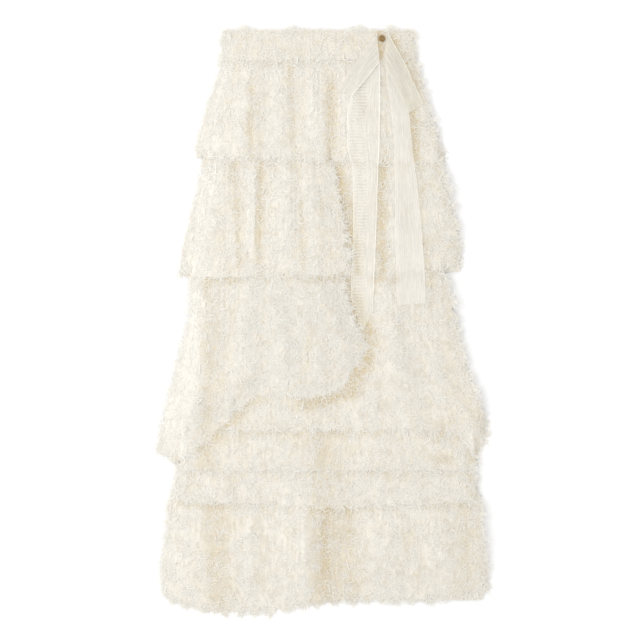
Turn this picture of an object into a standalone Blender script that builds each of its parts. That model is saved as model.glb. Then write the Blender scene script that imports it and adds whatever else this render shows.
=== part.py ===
"""A long tiered tulle skirt laid flat on its back, with a ribbon bow at the waist.

Every cut piece is a thin wall of cloth. The pieces are laid one by one, the back first,
and each rests on what already lies there. The tables are in millimetres on the laid skirt:
x runs across from the middle of the waist, drop runs down from the top of the waistband.
"""
import math
import random
from collections import namedtuple

import bmesh
import bpy
import numpy as np
from mathutils import Vector
from mathutils.bvhtree import BVHTree

MM = 0.001

# Driving dimensions, mm
CLOTH = 2.0  # wall of the tulle with the roots of its tufts
RIBBON = 1.2  # wall of the bow's ribbon
SEAM = 0.3  # between two pieces that meet or lie on each other
TUFT_LOW = 4.0  # how far a tuft stands off the cloth
TUFT_HIGH = 8.0
EDGE_NIP = 3.5  # how far the tufts make a free edge step in and out
BACK_INSET = 4.0  # the back's edges lie this far inside the front's
FOLD_FULL = 0.4  # share of a tier's length in which its folds rise to full height
FOLD_TOP = 0.3  # share of a fold's height at the gathered seam
COVER_FADE = 32.0  # a fold comes up to its height this far from the piece lying on it
COVER_FOLD = 0.06  # share of a fold's height left under such a piece
TUFT_CLEAR = 7.0  # bare strip beside such a piece, where no tuft stands
TUFT_COLUMNS = 2  # grid columns between two columns of tufts
WAIST_DROP = 45.0  # height of the waistband
LOOP_BEND = 1.7  # radius of the turn at the end of a bow loop
LOOP_ROWS = 6
EYELET_RADIUS = 4.4
EYELET_WIRE = 0.9
PATCH_STEPS = 4  # spots looked at across one cell, when a piece is laid on others
SEED = 20

Side = namedtuple("Side", "drop left right")  # the side edges of a piece at one height
Point = namedtuple("Point", "x drop")  # a point of a hem or top edge
Fold = namedtuple("Fold", "left right rise")  # the feet of a fold at the hem, and its height
Rail = namedtuple("Rail", "along x_a drop_a x_b drop_b")  # both edges of a ribbon loop
Panel = namedtuple(
    "Panel",
    "name columns rows sides hem folds covered pressed free colour",
    defaults=((), (), (), "hem", "ivory"),
)

COLOURS = {
    "ivory": (0.83, 0.78, 0.68, 1.0),
    "cream": (0.86, 0.81, 0.71, 1.0),
    "ribbon": (0.84, 0.80, 0.69, 1.0),
    "brass": (0.55, 0.38, 0.16, 1.0),
}

WAIST_SIDES = (Side(-3, -168, 163), Side(WAIST_DROP, -169, 166))
TIER_1_SIDES = (
    Side(WAIST_DROP + SEAM, -168, 166),
    Side(78, -176, 173),
    Side(111, -189, 184),
    Side(145, -199, 193),
    Side(178, -208, 204),
    Side(218, -214, 216),
)
TIER_2_SIDES = (
    Side(191, -194, 203),
    Side(228, -198, 208),
    Side(277, -213, 223),
    Side(311, -221, 231),
    Side(344, -231, 238),
    Side(377, -238, 241),
    Side(409, -239, 241),
)
TIER_2_WRAP = (Side(191, -194, 12), Side(261, -208, 25), Side(319, -223, 38), Side(402, -239, 51))
TIER_2_UNDER = (Side(191, -12, 203), Side(277, 5, 223), Side(344, 18, 238), Side(402, 27, 241))
TIER_3_SIDES = (
    Side(380, -213, 209),
    Side(443, -209, 226),
    Side(510, -219, 238),
    Side(576, -233, 257),
    Side(610, -241, 271),
    Side(646, -246, 284),
)
TIER_3_BACK = (Side(380, -216, 209), Side(443, -216, 226), Side(576, -245, 257), Side(676, -268, 276))
CASCADE_SIDES = (
    Side(380, -216, 27),
    Side(415, -221, 33),
    Side(465, -221, 47),
    Side(505, -231, 63),
    Side(522, -236, 76),
    Side(576, -249, 78),
    Side(643, -266, 78),
    Side(686, -277, 78),
)
TIER_4_SIDES = (Side(639, -233, 262), Side(709, -239, 267), Side(726, -241, 262))
FLOUNCE_SIDES = (Side(726 + SEAM, -241, 262), Side(781, -256, 272))
TIER_5_SIDES = (
    Side(756, -249, 266),
    Side(792, -259, 276),
    Side(826, -259, 276),
    Side(859, -266, 281),
    Side(892, -270, 284),
    Side(925, -266, 284),
    Side(947, -257, 274),
)

TIER_1_HEM = (
    Point(-214, 194), Point(-188, 208), Point(-100, 208), Point(0, 211), Point(183, 218), Point(216, 214)
)
TIER_2_HEM = (
    Point(-239, 394), Point(-216, 409), Point(-149, 404), Point(38, 402), Point(133, 397),
    Point(208, 392), Point(241, 380),
)
TIER_3_HEM = (
    Point(-246, 659), Point(133, 659), Point(224, 661), Point(243, 686), Point(256, 708),
    Point(269, 683), Point(284, 651),
)
CASCADE_HEM = (
    Point(-277, 686), Point(-257, 703), Point(-236, 714), Point(-208, 693), Point(-179, 666),
    Point(-149, 628), Point(-116, 600), Point(-17, 605), Point(12, 598), Point(38, 581),
    Point(55, 555), Point(78, 522),
)
TIER_4_HEM = (Point(-241, 726), Point(262, 726))
FLOUNCE_HEM = (
    Point(-256, 774), Point(-199, 777), Point(-66, 782), Point(-2, 789), Point(55, 789),
    Point(133, 782), Point(272, 776),
)
TIER_5_HEM = (
    Point(-257, 945), Point(-236, 952), Point(-199, 962), Point(-173, 967), Point(-81, 968),
    Point(-25, 957), Point(28, 947), Point(178, 948), Point(233, 943), Point(274, 937),
)

TAIL_LEFT_SIDES = (
    Side(25, 86, 98),
    Side(70, 63, 99),
    Side(128, 45, 99),
    Side(194, 45, 98),
    Side(228, 54, 96),
    Side(327, 55, 93),
    Side(440, 51, 88),
)
TAIL_LEFT_HEM = (Point(51, 440), Point(70, 497), Point(88, 462))
TAIL_RIGHT_SIDES = (
    Side(27, 109, 121),
    Side(78, 109, 138),
    Side(133, 118, 147),
    Side(184, 123, 152),
    Side(256, 124, 161),
    Side(327, 124, 168),
    Side(394, 126, 173),
    Side(448, 128, 174),
)
TAIL_RIGHT_HEM = (Point(128, 453), Point(174, 448))
LOOP_LEFT = (Rail(0.0, 95, 1, 98, 50), Rail(0.5, 61, 48, 76, 78), Rail(1.0, 29, 94, 53, 106))
LOOP_RIGHT = (Rail(0.0, 113, 1, 104, 50), Rail(0.5, 142, 54, 125, 91), Rail(1.0, 171, 118, 146, 133))
EYELET = Point(103, 10)


def level_hem(sides, drop):
    """A straight hem across the back at this drop."""
    return (Point(sides[-1].left, drop), Point(sides[-1].right, drop))


def rolls(*feet, rise=3.0):
    """Low folds of one height for the back, between these pairs of feet."""
    return tuple(Fold(left, right, rise) for left, right in feet)


BACK = (
    Panel("waistband_back", 12, 1, WAIST_SIDES, level_hem(WAIST_SIDES, WAIST_DROP)),
    Panel(
        "tier_1_back", 18, 4, TIER_1_SIDES, level_hem(TIER_1_SIDES, 208),
        rolls((-170, -100), (60, 130)), colour="cream",
    ),
    Panel(
        "tier_2_back", 20, 5, TIER_2_SIDES, level_hem(TIER_2_SIDES, 396),
        rolls((-190, -110), (-90, -30), (90, 170)), covered=("tier_1_back",),
    ),
    Panel(
        "tier_3_back", 22, 6, TIER_3_BACK, level_hem(TIER_3_BACK, 664),
        rolls((-220, -130), (80, 170)), covered=("tier_2_back",), colour="cream",
    ),
    Panel("tier_4_back", 22, 3, TIER_4_SIDES, level_hem(TIER_4_SIDES, 726), covered=("tier_3_back",)),
    Panel("flounce_back", 24, 2, FLOUNCE_SIDES, level_hem(FLOUNCE_SIDES, 779), colour="cream"),
    Panel(
        "tier_5_back", 24, 5, TIER_5_SIDES, level_hem(TIER_5_SIDES, 941),
        rolls((-200, -110), (70, 150)), covered=("flounce_back",),
    ),
)

FRONT = (
    Panel(
        "tier_5_front", 38, 9, TIER_5_SIDES, TIER_5_HEM,
        (
            Fold(-257, -171, 6), Fold(-171, -80, 9), Fold(-75, 12, 12), Fold(50, 141, 11),
            Fold(141, 233, 10), Fold(238, 281, 5),
        ),
        covered=("flounce_front",),
    ),
    Panel(
        "flounce_front", 52, 3, FLOUNCE_SIDES, FLOUNCE_HEM,
        tuple(Fold(left, left + 36, 5 + abs(left) % 3) for left in range(-256, 250, 37)),
        colour="cream",
    ),
    Panel(
        "tier_4_front", 38, 4, TIER_4_SIDES, TIER_4_HEM,
        (
            Fold(-236, -174, 4), Fold(-133, -50, 7), Fold(-50, 12, 6), Fold(42, 133, 8),
            Fold(133, 199, 7), Fold(199, 257, 6),
        ),
        covered=("tier_3_front", "tier_3_overlay"), free="",
    ),
    Panel(
        "tier_3_front", 38, 13, TIER_3_SIDES, TIER_3_HEM,
        (
            Fold(-138, -50, 7), Fold(-50, 22, 6), Fold(42, 106, 9), Fold(106, 184, 11),
            Fold(184, 249, 8), Fold(249, 282, 5),
        ),
        covered=("tier_2_front_right", "tier_2_front_left", "tier_3_overlay"),
        pressed=("bow_tail_left", "bow_tail_right"), colour="cream",
    ),
    Panel(
        "tier_3_overlay", 26, 14, CASCADE_SIDES, CASCADE_HEM,
        (
            Fold(-269, -191, 9), Fold(-178, -116, 7), Fold(-116, -47, 10), Fold(-47, 13, 8),
            Fold(13, 76, 10),
        ),
        covered=("tier_2_front_right", "tier_2_front_left"), colour="cream",
    ),
    Panel(
        "tier_2_front_right", 24, 10, TIER_2_UNDER, TIER_2_HEM,
        (Fold(50, 98, 11), Fold(98, 163, 12), Fold(163, 201, 7), Fold(201, 238, 8)),
        covered=("tier_1_front", "tier_2_front_left"), pressed=("bow_tail_left", "bow_tail_right"),
    ),
    Panel(
        "tier_2_front_left", 28, 10, TIER_2_WRAP, TIER_2_HEM,
        (
            Fold(-233, -153, 8), Fold(-153, -131, 4), Fold(-131, -95, 9), Fold(-95, -27, 12),
            Fold(-27, 36, 10),
        ),
        covered=("tier_1_front",),
    ),
    Panel(
        "tier_1_front", 40, 8, TIER_1_SIDES, TIER_1_HEM,
        (
            Fold(-211, -163, 6), Fold(-163, -106, 9), Fold(-106, -38, 8), Fold(-38, 22, 9),
            Fold(22, 96, 10), Fold(96, 166, 9), Fold(166, 213, 6),
        ),
        pressed=("bow_tail_left", "bow_tail_right", "bow_loop_left", "bow_loop_right"), colour="cream",
    ),
    Panel(
        "waistband_front", 40, 2, WAIST_SIDES, level_hem(WAIST_SIDES, WAIST_DROP),
        tuple(Fold(left, left + 16, 1.5) for left in range(-168, 150, 16)),
        pressed=("bow_tail_left", "bow_tail_right", "bow_loop_left", "bow_loop_right", "bow_eyelet"),
        free="top",
    ),
)

TAILS = (
    Panel("bow_tail_left", 4, 22, TAIL_LEFT_SIDES, TAIL_LEFT_HEM, colour="ribbon"),
    Panel("bow_tail_right", 4, 20, TAIL_RIGHT_SIDES, TAIL_RIGHT_HEM, colour="ribbon"),
)
LOOPS = (("bow_loop_left", LOOP_LEFT), ("bow_loop_right", LOOP_RIGHT))


def between(start, end, share):
    return start + (end - start) * share


def ramp(start, end, at):
    """Smooth step from 0 at start to 1 at end."""
    share = min(1.0, max(0.0, (at - start) / (end - start)))
    return share * share * (3.0 - 2.0 * share)


def look_up(rows, at):
    """The other columns of a table of rows, where its first column has this value."""
    for low, high in zip(rows, rows[1:]):
        if at <= high[0]:
            break
    share = min(1.0, max(0.0, (at - low[0]) / (high[0] - low[0])))
    return [between(a, b, share) for a, b in zip(low[1:], high[1:])]


def hem_x(panel, across):
    """The x of a point at the foot of the panel, at this share of its width."""
    return between(panel.sides[-1].left, panel.sides[-1].right, across)


def flat_plan(panel, nip, inset, rng):
    """The grid of a panel seen from above: rows of (x, drop), with its free edges stepped by tufts."""
    free_row = {"hem": panel.rows, "top": 0}[panel.free] if panel.free else None
    plan = []
    for j in range(panel.rows + 1):
        row = []
        for i in range(panel.columns + 1):
            across = i / panel.columns
            bottom = look_up(panel.hem, hem_x(panel, across))[0]
            drop = between(panel.sides[0].drop, bottom, j / panel.rows)
            if j == free_row:
                drop += nip * rng.uniform(0.5, 1.0) * (1 if i % 2 else -1)
            left, right = look_up(panel.sides, drop)
            x = between(left + inset, right - inset, across)
            side = {0: -1, panel.columns: 1}.get(i, 0)
            x += side * nip * rng.uniform(0.4, 1.0) * (1 if j % 2 else -1)
            row.append((x, drop))
        plan.append(row)
    return plan


def loop_plan(rails):
    """The grid of a ribbon loop seen from above, from the eyelet to its far end."""
    plan = []
    for j in range(LOOP_ROWS + 1):
        x_a, drop_a, x_b, drop_b = look_up(rails, j / LOOP_ROWS)
        plan.append([(between(x_a, x_b, i / 4), between(drop_a, drop_b, i / 4)) for i in range(5)])
    return plan


def eyelet_plan():
    """A square as wide as the eyelet."""
    reach = EYELET_RADIUS + EYELET_WIRE
    return [[(EYELET.x + a * reach, EYELET.drop + b * reach) for a in (-1, 1)] for b in (-1, 1)]


def outline(plan):
    """The edge of a grid as one closed ring of points."""
    right = [row[-1] for row in plan]
    left = [row[0] for row in plan]
    return np.array(plan[0] + right[1:-1] + plan[-1][::-1] + left[-2:0:-1])


def distance_outside(ring, x, drop):
    """How far a point lies outside a ring, negative inside it."""
    start, end = ring, np.roll(ring, -1, axis=0)
    edge = end - start
    to_point = np.array((x, drop)) - start
    share = np.clip((to_point * edge).sum(axis=1) / (edge * edge).sum(axis=1), 0.0, 1.0)
    reach = np.linalg.norm(to_point - edge * share[:, None], axis=1).min()
    spans = (start[:, 1] > drop) != (end[:, 1] > drop)
    rise = np.where(spans, edge[:, 1], 1.0)
    crossing = start[:, 0] + (drop - start[:, 1]) / rise * edge[:, 0]
    inside = np.count_nonzero(spans & (crossing > x)) % 2
    return -reach if inside else reach


class Pile:
    """What is laid so far, and how high it stands under a new piece."""

    def __init__(self, middle):
        self.middle = middle
        self.points = np.zeros((0, 3))
        self.faces = []
        self.tree = None

    def place(self, x, drop, height):
        """A point of the laid skirt in metres, with the part's origin under its middle."""
        return Vector((x - self.middle[0], self.middle[1] - drop, height)) * MM

    def add(self, mesh):
        first = len(self.points)
        self.points = np.vstack((self.points, [tuple(vert.co) for vert in mesh.vertices]))
        self.faces += [tuple(first + v for v in face.vertices) for face in mesh.polygons]
        self.tree = BVHTree.FromPolygons(self.points.tolist(), self.faces)

    def height(self, spots):
        """Highest point, in mm, under the patch that these (x, drop) spots span, or None."""
        if self.tree is None:
            return None
        flat = [self.place(x, drop, 1000.0) for x, drop in spots]
        hits = [self.tree.ray_cast(point, Vector((0.0, 0.0, -1.0)))[0] for point in flat]
        found = [hit.z for hit in hits if hit]
        corners = np.array([tuple(point) for point in flat])
        low, high = corners.min(axis=0), corners.max(axis=0)
        held = ((self.points[:, :2] >= low[:2]) & (self.points[:, :2] <= high[:2])).all(axis=1)
        found += self.points[held, 2].tolist()
        return max(found) / MM if found else None


def patch(plan, i, j):
    """Spots all over the cells that meet at one grid point."""
    steps = [step / PATCH_STEPS for step in range(-PATCH_STEPS, PATCH_STEPS + 1)]
    spots = []
    for row_step in steps:
        for column_step in steps:
            row = min(max(j + row_step, 0.0), len(plan) - 1.0)
            column = min(max(i + column_step, 0.0), len(plan[0]) - 1.0)
            j0, i0 = min(int(row), len(plan) - 2), min(int(column), len(plan[0]) - 2)
            sides = [
                [between(a, b, column - i0) for a, b in zip(plan[k][i0], plan[k][i0 + 1])]
                for k in (j0, j0 + 1)
            ]
            spots.append(tuple(between(a, b, row - j0) for a, b in zip(*sides)))
    return spots


def fold_height(panel, across, down):
    """How high the folds lift the cloth, at these shares of the width and of the length."""
    x = hem_x(panel, across)
    grown = between(FOLD_TOP, 1.0, ramp(0.0, FOLD_FULL, down))
    for fold in panel.folds:
        if fold.left < x < fold.right:
            return grown * fold.rise * math.sin(math.pi * (x - fold.left) / (fold.right - fold.left)) ** 2
    return 0.0


def cloth_wall(name, columns, rows, place, colour):
    """A closed wall: a grid of cloth extruded once, from its inner points to its outer ones."""
    bm = bmesh.new()
    away = bm.verts.layers.float_vector.new("away")
    grid = bmesh.ops.create_grid(bm, x_segments=columns, y_segments=rows, size=1.0)
    bmesh.ops.triangulate(bm, faces=bm.faces)
    for vert in grid["verts"]:
        i = round((vert.co.x + 1.0) / 2.0 * columns)
        j = round((1.0 - vert.co.y) / 2.0 * rows)
        vert.co, vert[away] = place(i, j)
    wall = bmesh.ops.extrude_face_region(bm, geom=bm.faces[:])
    for vert in wall["geom"]:
        if isinstance(vert, bmesh.types.BMVert):
            vert.co += vert[away]
    bmesh.ops.triangulate(bm, faces=bm.faces)
    bmesh.ops.recalc_face_normals(bm, faces=bm.faces)
    mesh = bpy.data.meshes.new(name)
    bm.to_mesh(mesh)
    bm.free()
    return add_piece(name, mesh, colour)


def add_piece(name, mesh, colour):
    mesh.materials.append(material(colour))
    piece = bpy.data.objects.new(name, mesh)
    bpy.context.collection.objects.link(piece)
    return piece


def material(colour):
    """One cloth or metal finish, made once."""
    found = bpy.data.materials.get(colour)
    if found:
        return found
    made = bpy.data.materials.new(colour)
    made.use_nodes = True
    shader = made.node_tree.nodes["Principled BSDF"]
    shader.inputs["Base Color"].default_value = COLOURS[colour]
    shader.inputs["Metallic"].default_value = 1.0 if colour == "brass" else 0.0
    shader.inputs["Roughness"].default_value = 0.35 if colour == "brass" else 0.9
    return made


def lay_panel(panel, wall, plans, pile, tufted, rng):
    """Lays one panel on the pile, its folds and tufts pressed flat where another piece lies on it."""
    plan = plans[panel.name]
    covers = [outline(plans[name]) for name in panel.covered]
    presses = covers + [outline(plans[name]) for name in panel.pressed]
    edge_columns = (0, panel.columns)

    def place(i, j):
        x, drop = plan[j][i]
        under = pile.height(patch(plan, i, j))
        cover = min([distance_outside(ring, x, drop) for ring in covers], default=COVER_FADE)
        press = min([distance_outside(ring, x, drop) for ring in presses], default=COVER_FADE)
        fold = fold_height(panel, i / panel.columns, j / panel.rows)
        fold *= between(COVER_FOLD, 1.0, ramp(0.0, COVER_FADE, cover))
        lift = fold if under is None else fold + under + SEAM
        thick = wall
        stands = i % TUFT_COLUMNS == 0 and (j + i // TUFT_COLUMNS) % 2 == 0 and i not in edge_columns
        height = rng.uniform(TUFT_LOW, TUFT_HIGH)
        if tufted and stands and press > TUFT_CLEAR:
            thick += height
        return pile.place(x, drop, lift), Vector((0.0, 0.0, thick * MM))

    piece = cloth_wall(panel.name, panel.columns, panel.rows, place, panel.colour)
    pile.add(piece.data)


def lay_loop(name, plan, pile):
    """Lays a bow loop: a ribbon that runs out on top, turns at its far end and comes back below."""
    far = LOOP_ROWS
    turn = [math.radians(angle) for angle in (45, 90, 135)]
    length = math.dist(plan[0][2], plan[far][2])
    path = [(j, 2.0 * LOOP_BEND, (0.0, 1.0)) for j in range(far + 1)]
    path += [
        (far * (1.0 + LOOP_BEND * math.sin(a) / length), LOOP_BEND * (1.0 + math.cos(a)), (math.sin(a), math.cos(a)))
        for a in turn
    ]
    path += [(j, 0.0, (0.0, -1.0)) for j in range(far, -1, -1)]
    floor = [[pile.height(patch(plan, i, j)) + SEAM for i in range(5)] for j in range(far + 1)]

    def place(i, k):
        row, lift, (out, up) = path[k]
        j = min(int(row), far - 1)
        x, drop = (between(a, b, row - j) for a, b in zip(plan[j][i], plan[j + 1][i]))
        run = Vector((plan[far][i][0] - plan[0][i][0], plan[0][i][1] - plan[far][i][1], 0.0)).normalized()
        base = between(floor[j][i], floor[j + 1][i], min(1.0, row - j))
        middle = pile.place(x, drop, base + RIBBON / 2.0 + lift)
        normal = (run * out + Vector((0.0, 0.0, up))) * RIBBON * MM
        return middle - normal / 2.0, normal

    piece = cloth_wall(name, 4, len(path) - 1, place, "ribbon")
    pile.add(piece.data)


def lay_eyelet(plan, pile):
    """A small brass ring on the waistband, where the ribbon comes out."""
    seat = pile.height(patch(plan, 0, 0)) + SEAM + EYELET_WIRE
    bpy.ops.mesh.primitive_torus_add(
        major_segments=20, minor_segments=8, major_radius=EYELET_RADIUS * MM, minor_radius=EYELET_WIRE * MM,
        location=pile.place(EYELET.x, EYELET.drop, seat),
    )
    ring = bpy.context.object
    ring.name = "bow_eyelet"
    ring.data.materials.append(material("brass"))
    ring.data.shade_smooth()


def main():
    for old in list(bpy.data.objects):
        bpy.data.objects.remove(old, do_unlink=True)
    rng = random.Random(SEED)
    plans = {panel.name: flat_plan(panel, 0.0, BACK_INSET, rng) for panel in BACK}
    plans |= {panel.name: flat_plan(panel, EDGE_NIP, 0.0, rng) for panel in FRONT}
    plans |= {panel.name: flat_plan(panel, 0.0, 0.0, rng) for panel in TAILS}
    plans |= {name: loop_plan(rails) for name, rails in LOOPS}
    plans["bow_eyelet"] = eyelet_plan()
    spots = np.array([spot for plan in plans.values() for row in plan for spot in row])
    pile = Pile((spots.min(axis=0) + spots.max(axis=0)) / 2.0)
    for panel in BACK:
        lay_panel(panel, CLOTH, plans, pile, False, rng)
    for panel in FRONT:
        lay_panel(panel, CLOTH, plans, pile, True, rng)
    for panel in TAILS:
        lay_panel(panel, RIBBON, plans, pile, False, rng)
    for name, _ in LOOPS:
        lay_loop(name, plans[name], pile)
    lay_eyelet(plans["bow_eyelet"], pile)


main()
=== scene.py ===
"""A long tiered skirt of tufted ivory tulle with a ribbon bow, laid flat under soft studio light."""
import math
from collections import namedtuple
from functools import partial

import bpy
import numpy as np
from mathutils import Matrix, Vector
from mathutils.bvhtree import BVHTree

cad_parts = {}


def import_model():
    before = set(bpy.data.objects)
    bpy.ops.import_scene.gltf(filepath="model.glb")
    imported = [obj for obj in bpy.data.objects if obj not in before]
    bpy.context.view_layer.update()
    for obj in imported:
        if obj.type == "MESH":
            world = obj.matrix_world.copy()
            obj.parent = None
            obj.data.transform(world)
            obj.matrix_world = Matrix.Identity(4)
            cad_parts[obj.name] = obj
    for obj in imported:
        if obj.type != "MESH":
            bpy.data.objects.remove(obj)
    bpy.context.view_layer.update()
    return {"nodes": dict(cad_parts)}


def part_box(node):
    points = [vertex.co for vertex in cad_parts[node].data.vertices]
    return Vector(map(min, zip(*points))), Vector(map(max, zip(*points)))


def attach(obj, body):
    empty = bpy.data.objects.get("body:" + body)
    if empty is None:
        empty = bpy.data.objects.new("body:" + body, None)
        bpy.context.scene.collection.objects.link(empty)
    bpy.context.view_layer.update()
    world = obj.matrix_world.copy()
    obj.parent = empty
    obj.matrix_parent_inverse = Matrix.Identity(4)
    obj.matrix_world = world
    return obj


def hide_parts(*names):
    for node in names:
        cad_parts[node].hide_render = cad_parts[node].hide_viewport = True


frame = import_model()

MM = 0.001

# The photograph: how its pixels lie on the skirt
PIXEL = 1.661  # mm of skirt to a pixel
PHOTO_SIDE = 640  # pixels
PHOTO_MIDDLE = 320  # the pixel column of the middle of the waist
WAIST_TOP_ROW = 33  # the pixel row of the waistband's top
LENS = 120.0  # mm
SENSOR = 36.0  # mm

# Studio
FLOOR_SIDE = 8.0  # m
FLOOR_GAP = 0.0002  # m, between it and what rests on it
SKY_LIGHT = 0.945
SOFTBOX_SIDE = 1.5  # m
SOFTBOX_POWER = 16.5  # W
SOFTBOX_PLACE = (-1.6, 0.4, 1.4)  # m, up and to the left of the skirt

# Weave: widths in metres, places on a ribbon as shares of its width
GATHER_LINES = (1 / 0.003, 1 / 0.045, 1.0)  # fine lines where the net bunches, in a metre across and down
THREAD_THROUGH = 0.2  # share of the light that goes through a thread
NET_GRAIN = 0.0035
TONE_PATCH = 0.04  # the tulle's own uneven tone
NOISE_LOW, NOISE_HIGH = 0.3, 0.7  # most of a noise texture lies between them
RIBS = (26.0, 1 / 0.05, 1.0)  # ribs across a ribbon, and changes of one in a metre of its length
RIB_THIN, RIB_THICK = 0.65, 1.3  # how much light they stop, against the plain ribbon
RUNG = 0.0052  # from one rung of the ladder work to the next
LADDER_AT = 0.34  # its middle
PLAIN_FROM, PLAIN_AT = 0.18, 0.23  # from there to where the plain weave starts, and is whole
LADDER_OPEN = 0.4  # how much less light it stops between the rungs
SELVEDGES = ((0.02, 0.045), (0.98, 0.955))  # where each is whole, and where it ends
SHEER = 0.4  # how much of the light a plain ribbon stops

# Cloth, mm
CLOTH = 2.0  # wall of a front panel's solid
THIN = 1.2  # wall of a ribbon's solid, and how a back is laid
SHEET_CELL = (2.6, 5.0)  # one cell of a front sheet, across and down
BACK_CELL = (5.2, 8.0)
RIBBON_CELL = (2.4, 4.0)
SHEET_CLEAR = 0.5  # between two sheets that lie on each other
HEM_REST = 85.0  # the last stretch of a free hem, which sinks onto what lies under it
HEM_LIFT = 0.4  # and how far above it that stays
SEAM_REST = 20.0  # and of a sewn edge, which ends level
SEAM_LIFT = 0.3
LAP_REST = 60.0  # and of the right side of a panel that laps over another
LAP_LIFT = 1.8
HEM_FLUTE = 0.1  # how much of the flutes is left in a free hem
FLUTE_LOW, FLUTE_HIGH = -0.5, 2.0  # how far down and up they count
TOP_REST = 18.0  # the first stretch of a panel, which comes up from what lies under it
FLOOR_CLEAR = 0.6  # lowest point of a sheet over the floor
FOLD_STEEP = 0.6  # reach of a fold's steep side, as a share of its soft side's
FOLD_SHIFT = 0.35  # how far its bottom lies off its middle line, as a share of its reach
LEFT_IN = 7.0  # from a solid's left side in to its cloth
RIGHT_IN = 9.0
HEM_WAVE = 2.4  # how far a free edge wanders in and out
SEAM_WAVE = 1.3  # and a sewn one
HEM_WAVE_FROM = 0.8  # share of a panel's length or width from which it does so
SIDE_WAVE_FROM = 0.9
HOLLOW_REACH = 28.0  # the painted shade of a hollow is set against the cloth this far round it
HOLLOW_DEPTH = 8.0  # how deep one is for the full colour of painted shade
OPEN = 0.35  # painted shade of open cloth: full painted shade in a hollow is 1, painted light on a lit edge 0
FORM_SOFT = (6.0, 14.0)  # the solid's raised tufts are evened out this far across and down
FORM_REACH = 50.0
FORM_EASE = 0.85  # how far the solid's own folds are evened out over that reach
UNDER_SOFT = (4, 5)  # cells across and down that even out what lies under a tail or a back
SHEET_SOFT = (0, 4)  # a front sheet
HOLLOW_SOFT = (0, 1)  # its painted shade
LOOP_SOFT, LOOP_UNDER = (2, 3), (3, 3)  # a bow loop, and what lies under it
HEM_SHADE = 0.24  # painted shade on a panel beside a hem that lies on it
HEM_SHADE_REACH = 12.0
HEM_SHADE_MEAN, HEM_SHADE_SWING = 0.6, 0.5  # how much of that shows, and how that varies
EDGE_REACH = 34.0  # the cloth beside a free side, where the side's painted light and shade take the place of its hollows'
EDGE_PAINTED_LIGHT_AND_SHADE = {"left": -0.14, "right": 0.14}  # painted light on the left side, nearer the lamp, and painted shade on the right
THIN_LIFT = 3.4  # of a tail or a back over what it lies on
THIN_CLEAR = 2.2  # and at least, over a hem
BARREL_RADIUS = 3.8  # of the eyelet's plug of painted shade, inside its ring
BARREL_DEPTH = 0.6
LOOP_LIFT = 1.0  # of a bow loop's lower run over what it lies on
LOOP_ARCH = 2.2  # and of its upper run over the lower one
LOOP_ARCH_END = 0.5  # share of that arch at the ends of the loop
LOOP_BEND = 1.7  # radius of the turn at its far end
LOOP_GRID = (30, 15)  # points along each run and across it
SEED = 7

# Ripples of the cloth: the widths and count of their waves, how deep they are, and the share of that at a
# panel's top and foot
Wave = namedtuple("Wave", "shortest longest count depth top foot", defaults=(1.0, 1.0, 1.0))
GATHERS = Wave(5.5, 11.0, 9, 0.35, 1.0, 0.4)
FLUTES = Wave(26.0, 60.0, 5, 0.3, 0.25, 1.0)
EDGE_WAVES = Wave(14.0, 32.0, 4)
SHADE_WAVES = Wave(20.0, 50.0, 3)
WANDER = 2.2  # radians that a wave drifts sideways on its way down
WANDER_SWAY = 0.7  # and how far it swings about that

# Threads, mm and radians: rise and fall are their slope at the root and tip, and sunk is how much more
# painted shade than its place one gets, painted light where that is below 0
Strand = namedtuple("Strand", "length width rise fall curl sunk")
NAP = Strand((6, 13), (1.1, 2.0), (0.0, 0.16), (-0.16, 0.0), 1.0, 0.04)
TUFT = Strand((8, 16), (1.3, 2.3), (0.05, 0.4), (-0.4, -0.05), 1.6, -0.15)
PRESSED = Strand((5, 11), (0.8, 1.4), (0.0, 0.1), (-0.2, 0.0), 1.2, 0.0)
FLAT = Strand((6, 12), (0.5, 0.9), (0.0, 0.1), (-0.1, 0.0), 1.6, 0.0)
FRINGE = Strand((5, 12), (0.8, 1.4), (0.05, 0.3), (-0.2, 0.0), 0.8, 0.0)
CLUMP = Strand((8, 19), (1.0, 2.0), (0.0, 0.35), (-0.2, 0.0), 0.6, -0.2)
STRAND_STEPS = 4
STRAND_SWAY = 0.6  # how far a thread snakes
STRAND_TAPER = 0.4  # its width at the tip, as a share of the root's
STRAND_ROLL, STRAND_TWIST = 0.18, 0.2  # how far its face is turned, and how much further by the tip
STRAND_FLOOR = 0.15  # lowest point of a thread over the floor
SPREAD_DOWN = 1.4  # spread of threads down a panel, against that across it
TUFT_STRANDS = 13
TUFT_SPREAD = 4.2
TUFT_GAP = 0.5  # painted shade on the nap between tufts, and painted light on the nap near them
TUFT_REACH = (5.0, 13.0)  # from a tuft's middle to where that starts, and is whole
TUFT_CLEAR = 2.0  # from a hem or ribbon that lies on the panel to its threads
TUFT_STRAY = 0.25  # how far a tuft strays, as a share of their grid
NAP_PATCH = 46.0  # mm2 of cloth for a spray of the nap
NAP_STRANDS = 4
NAP_SPREAD = 2.5
FLAT_PATCH = 1000.0  # and of the backs' tufts
FLAT_STRANDS = 9
FLAT_SPREAD = 4.0
FLAT_TOP = 0.45  # highest point of a thread under a back
FRINGE_SPREAD = 2.6
FRINGE_STRAY = 0.22  # how far a thread or clump strays, as a share of their pitch
FRINGE_SWING = 0.7  # how far its threads turn from straight out
NAP_DOWN = 0.7  # share of the nap that hangs towards the hem
NAP_SWING = 0.5  # how far it turns from straight down
NAP_UNDER = 5.0  # how far under a hem the nap still grows
OWN_SHADE = 0.2  # share of a thread's shade that is its own tone, not the painted shade of its place
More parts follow.
